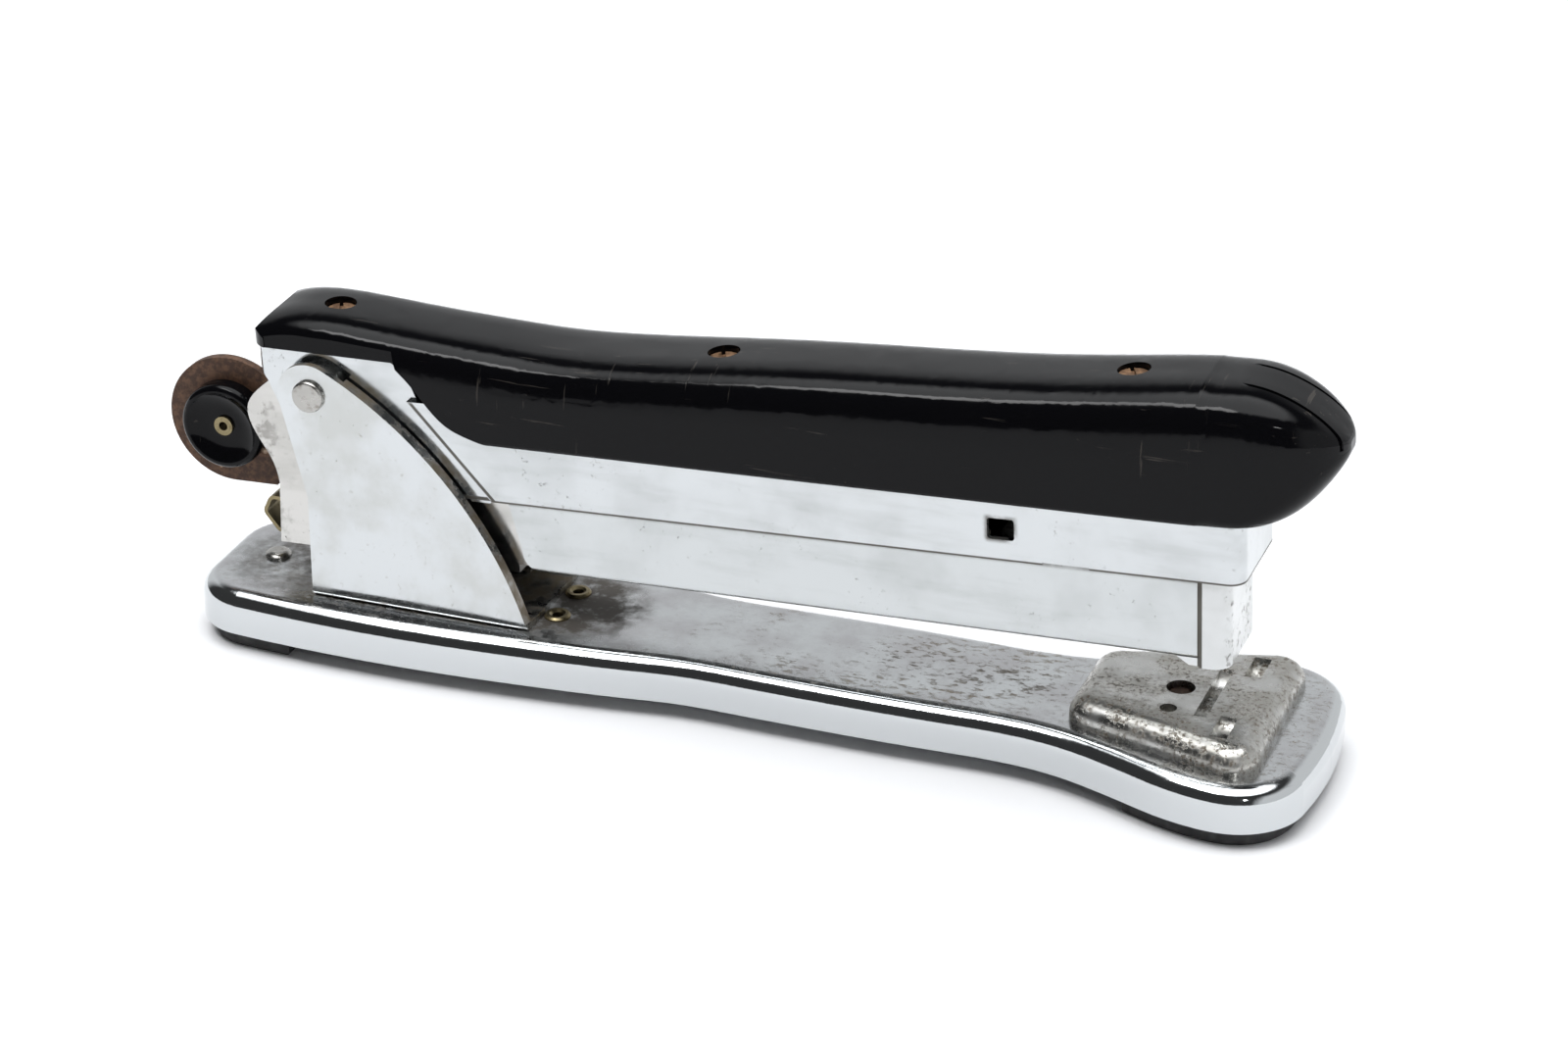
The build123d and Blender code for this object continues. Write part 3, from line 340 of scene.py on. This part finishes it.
def black_plastic(name, gloss):
    """Moulded black plastic with hair scratches and a few small chips."""
    s = Shader(name, (0.005, 0.005, 0.006), 0.0, gloss)
    across = s.noise(1.0, 4.0, 0.6, s.stretched((700.0, 60.0, 60.0), (0.2, 0.1, 0.4)))
    along = s.noise(1.0, 4.0, 0.6, s.stretched((40.0, 800.0, 800.0), (0.1, 0.2, 0.1)))
    patch = s.ramp(s.noise(60.0, 3.0), 0.48, 0.62)
    scratches = s.largest(s.ramp(across, 0.66, 0.70), s.ramp(along, 0.64, 0.68))
    hair = s.product(scratches, patch)
    pits = s.ramp(s.noise(520.0, 5.0, 0.75), 0.68, 0.73)
    chips = s.product(pits, s.ramp(s.noise(48.0, 2.0), 0.50, 0.62))
    mark = s.largest(s.product(hair, 0.5), chips)
    s.colour(s.blend(s.product(mark, 0.5), (0.0022, 0.0022, 0.0028), (0.12, 0.105, 0.09)))
    haze = s.ramp(s.noise(85.0, 5.0, 0.6), 0.35, 0.7, gloss, gloss + 0.06)
    s.roughness(s.math("ADD", haze, s.product(mark, 0.25)))
    s.bsdf.inputs["IOR"].default_value = 1.24
    s.bump(s.math("SUBTRACT", 0.5, mark), 0.00002, 0.3)
    return s.material


def rubber():
    """Dusty black rubber."""
    s = Shader("foot_rubber", (0.018, 0.018, 0.019), 0.0, 0.62)
    dust = s.ramp(s.noise(300.0), 0.5, 0.75)
    s.colour(s.blend(dust, (0.014, 0.014, 0.015), (0.05, 0.048, 0.045)))
    s.roughness(s.ramp(s.noise(500.0), 0.3, 0.7, 0.5, 0.75))
    s.bump(s.noise(1400.0, 5.0), 0.00005, 0.5)
    return s.material


def rusty_steel(name, clean, brown=(0.060, 0.030, 0.018), tan=(0.135, 0.070, 0.040)):
    """Steel gone brown, with a little bare metal left."""
    s = Shader(name, RUST, 0.6, 0.5)
    patch = s.ramp(s.noise(330.0, 6.0, 0.65), 0.28, 0.50)
    deep = s.blend(s.ramp(s.noise(900.0, 5.0, 0.7), 0.4, 0.65), brown, tan)
    s.colour(s.blend(s.ramp(patch, 0.0, 0.6), clean, deep))
    s.metallic(s.ramp(patch, 0.2, 0.9, 0.95, 0.25))
    s.roughness(s.ramp(patch, 0.1, 0.9, 0.30, 0.66))
    s.bump(s.noise(1100.0, 6.0, 0.7), 0.00006, 0.55)
    return s.material


def plain_metal(name, colour, roughness):
    """Bare metal with uneven polish and small stains."""
    s = Shader(name, colour, 1.0, roughness)
    stain = s.product(s.ramp(s.noise(700.0, 5.0, 0.7), 0.52, 0.70), 0.6)
    dark = (colour[0] * 0.35, colour[1] * 0.30, colour[2] * 0.25)
    s.colour(s.blend(stain, colour, dark))
    s.roughness(s.ramp(s.noise(380.0, 4.0), 0.3, 0.7, roughness * 0.8, roughness * 1.4))
    s.bump(s.noise(900.0, 5.0, 0.6), 0.00002, 0.3)
    return s.material


def staple_metal():
    """Bright wire, ribbed across the strip at each staple."""
    s = Shader("staple_wire", (0.60, 0.60, 0.61), 1.0, 0.25)
    wave = s.nodes.new("ShaderNodeTexWave")
    wave.inputs["Scale"].default_value = 314.0
    s.links.new(s.place, wave.inputs["Vector"])
    s.roughness(s.ramp(s.noise(400.0), 0.3, 0.7, 0.2, 0.34))
    s.bump(wave.outputs["Fac"], 0.00008, 0.8)
    return s.material


# ---------------------------------------------------------------- materials on the CAD pieces
STEEL = (0.42, 0.41, 0.39)
SPRING = (0.20, 0.18, 0.15)

sheet = plated_sheet("plated_frame", 0.5, PLATE, frame_shadow_and_dirt)
channel_sheet = plated_sheet("plated_channel", 0.7, (0.55, 0.57, 0.575), channel_shadow_and_dirt)
nose_sheet = plated_sheet("plated_nose", 0.8, (0.60, 0.61, 0.61), nose_seam_shade_and_specks)
carrier_sheet = plated_sheet("plated_carrier", 1.0, (0.57, 0.56, 0.54), carrier_dirt)
steel = plain_metal("stained_steel", STEEL, 0.28)
spring_steel = plain_metal("spring_steel", SPRING, 0.34)
brass = plain_metal("dull_brass", (0.24, 0.20, 0.115), 0.34)
rust_plate = rusty_steel("rusty_tongue", (0.26, 0.20, 0.15))
rust_screw = rusty_steel(
    "rusty_screws", (0.30, 0.19, 0.10), (0.10, 0.052, 0.026), (0.24, 0.135, 0.070)
)
grip_plastic = black_plastic("black_grip", 0.07)
button_plastic = black_plastic("black_button", 0.10)

LOOKS = {
    "base_shell": base_chrome(),
    "anvil_plate": anvil_metal(),
    "stiffener_plate": steel,
    "front_foot": rubber(),
    "rear_foot": rubber(),
    "anvil_rivet": rust_plate,
    "rear_rivet": steel,
    "bracket_rivets": steel,
    "front_rivets": brass,
    "pivot_bracket": bracket_metal(),
    "pivot_pin": steel,
    "pivot_washers": steel,
    "lift_spring": spring_steel,
    "magazine_channel": channel_sheet,
    "nose_cap": nose_sheet,
    "magazine_carrier": carrier_sheet,
    "pivot_sleeve": steel,
    "carrier_spacer": steel,
    "staple_rail": steel,
    "staple_strip": staple_metal(),
    "latch_spring": brass,
    "knob_tongue": rust_plate,
    "knob_button_right": button_plastic,
    "knob_button_left": button_plastic,
    "knob_rivet": brass,
    "pusher_rod": steel,
    "spring_seat": steel,
    "follower": steel,
    "pusher_spring": spring_steel,
    "handle_frame": sheet,
    "grip": grip_plastic,
    "grip_screws": rust_screw,
    "driver_blade": steel,
    "driver_holder": steel,
    "handle_spring": spring_steel,
}

for name, look in LOOKS.items():
    slots = nodes[name].data.materials
    slots.clear()
    slots.append(look)


def make_soft_spring(node, label, body):
    """A copy of a spring, attached to its body in place of the imported part."""
    spring = bpy.data.objects.new(label, nodes[node].data.copy())
    bpy.context.scene.collection.objects.link(spring)
    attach(spring, body)
    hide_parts(node)
    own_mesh(spring)


make_soft_spring(
    "pusher_spring", "pusher_spring_coil", "pusher",
)
make_soft_spring(
    "handle_spring", "handle_spring_leaf", "handle",
)


# ---------------------------------------------------------------- studio
ROOM = 0.05               # brightness of the dark side of the room, and of what lights it
CEILING = 4.0
BACKDROP = 0.85
SIDE_WALL = 0.9
FLOOR_HALF = 3.0
LENS = 101.25             # in millimetres, on a sensor 36 mm wide


def make_floor():
    """A wide pale sheet that the stapler stands on."""
    mesh = bpy.data.meshes.new("floor")
    corners = [(x * FLOOR_HALF, y * FLOOR_HALF, 0) for x, y in ((-1, -1), (1, -1), (1, 1), (-1, 1))]
    mesh.from_pydata(corners, [], [(0, 1, 2, 3)])
    floor = bpy.data.objects.new("floor", mesh)
    bpy.context.scene.collection.objects.link(floor)
    s = Shader("pale_paper", (0.90, 0.90, 0.91), 0.0, 0.6)
    s.bump(s.noise(700.0, 3.0), 0.00005, 0.12)
    mesh.materials.append(s.material)


def area_light(name, place, aim, size, power):
    """A soft rectangular light aimed at a point."""
    data = bpy.data.lights.new(name, "AREA")
    data.shape = "RECTANGLE"
    data.size, data.size_y = size
    data.energy = power
    light = bpy.data.objects.new(name, data)
    light.location = place
    light.rotation_mode = "QUATERNION"
    light.rotation_quaternion = (Vector(aim) - Vector(place)).to_track_quat("-Z", "Y")
    bpy.context.scene.collection.objects.link(light)


def make_world():
    """A bright ceiling and a bright backdrop behind, over a darker room in front."""
    world = bpy.data.worlds.new("studio")
    world.use_nodes = True
    tree = world.node_tree
    place = tree.nodes.new("ShaderNodeTexCoord")
    split = tree.nodes.new("ShaderNodeSeparateXYZ")
    tree.links.new(place.outputs["Generated"], split.inputs[0])

    def rise(letter, low, high, top):
        """The room's brightness, rising to top as a direction's coordinate goes low to high."""
        step = tree.nodes.new("ShaderNodeMapRange")
        step.interpolation_type = "SMOOTHSTEP"
        step.inputs["From Min"].default_value = low
        step.inputs["From Max"].default_value = high
        step.inputs["To Min"].default_value = ROOM
        step.inputs["To Max"].default_value = top
        tree.links.new(split.outputs[letter], step.inputs["Value"])
        return step.outputs["Result"]

    def combine(kind, first, second):
        node = tree.nodes.new("ShaderNodeMath")
        node.operation = kind
        tree.links.new(first, node.inputs[0])
        tree.links.new(second, node.inputs[1])
        return node.outputs["Value"]

    backdrop = rise("Y", 0.15, 0.50, BACKDROP)
    walls = combine("MAXIMUM", backdrop, rise("X", 0.60, 0.85, SIDE_WALL))
    walls = combine("MINIMUM", walls, rise("Z", 0.72, 0.52, BACKDROP))
    bright = combine("MAXIMUM", walls, rise("Z", 0.80, 0.90, CEILING))
    tree.links.new(bright, tree.nodes["Background"].inputs["Strength"])
    tree.nodes["Background"].inputs["Color"].default_value = (0.97, 0.985, 1.0, 1)
    bpy.context.scene.world = world


def make_camera():
    """The camera, at the viewing angle and distance that the stapler is seen from."""
    azimuth, elevation = math.radians(20.3), math.radians(26.2)
    away = 0.673
    aim = Vector((0.00835, 0.0, 0.03035))
    back = Vector((
        math.sin(azimuth) * math.cos(elevation),
        -math.cos(azimuth) * math.cos(elevation),
        math.sin(elevation),
    ))
    data = bpy.data.cameras.new("camera")
    data.sensor_width = 36.0
    data.lens = LENS
    camera = bpy.data.objects.new("camera", data)
    camera.location = aim + back * away
    camera.rotation_mode = "QUATERNION"
    camera.rotation_quaternion = (-back).to_track_quat("-Z", "Y")
    bpy.context.scene.collection.objects.link(camera)
    bpy.context.scene.camera = camera


make_floor()
make_world()
area_light("key", (-0.30, -0.45, 1.0), (0, 0, 0.03), (0.5, 0.16), 3.0)
area_light("window", (0.55, -0.75, 0.55), (0.05, 0, 0.04), (0.10, 0.05), 0.5)
make_camera()
bpy.context.scene.view_settings.view_transform = "Standard"
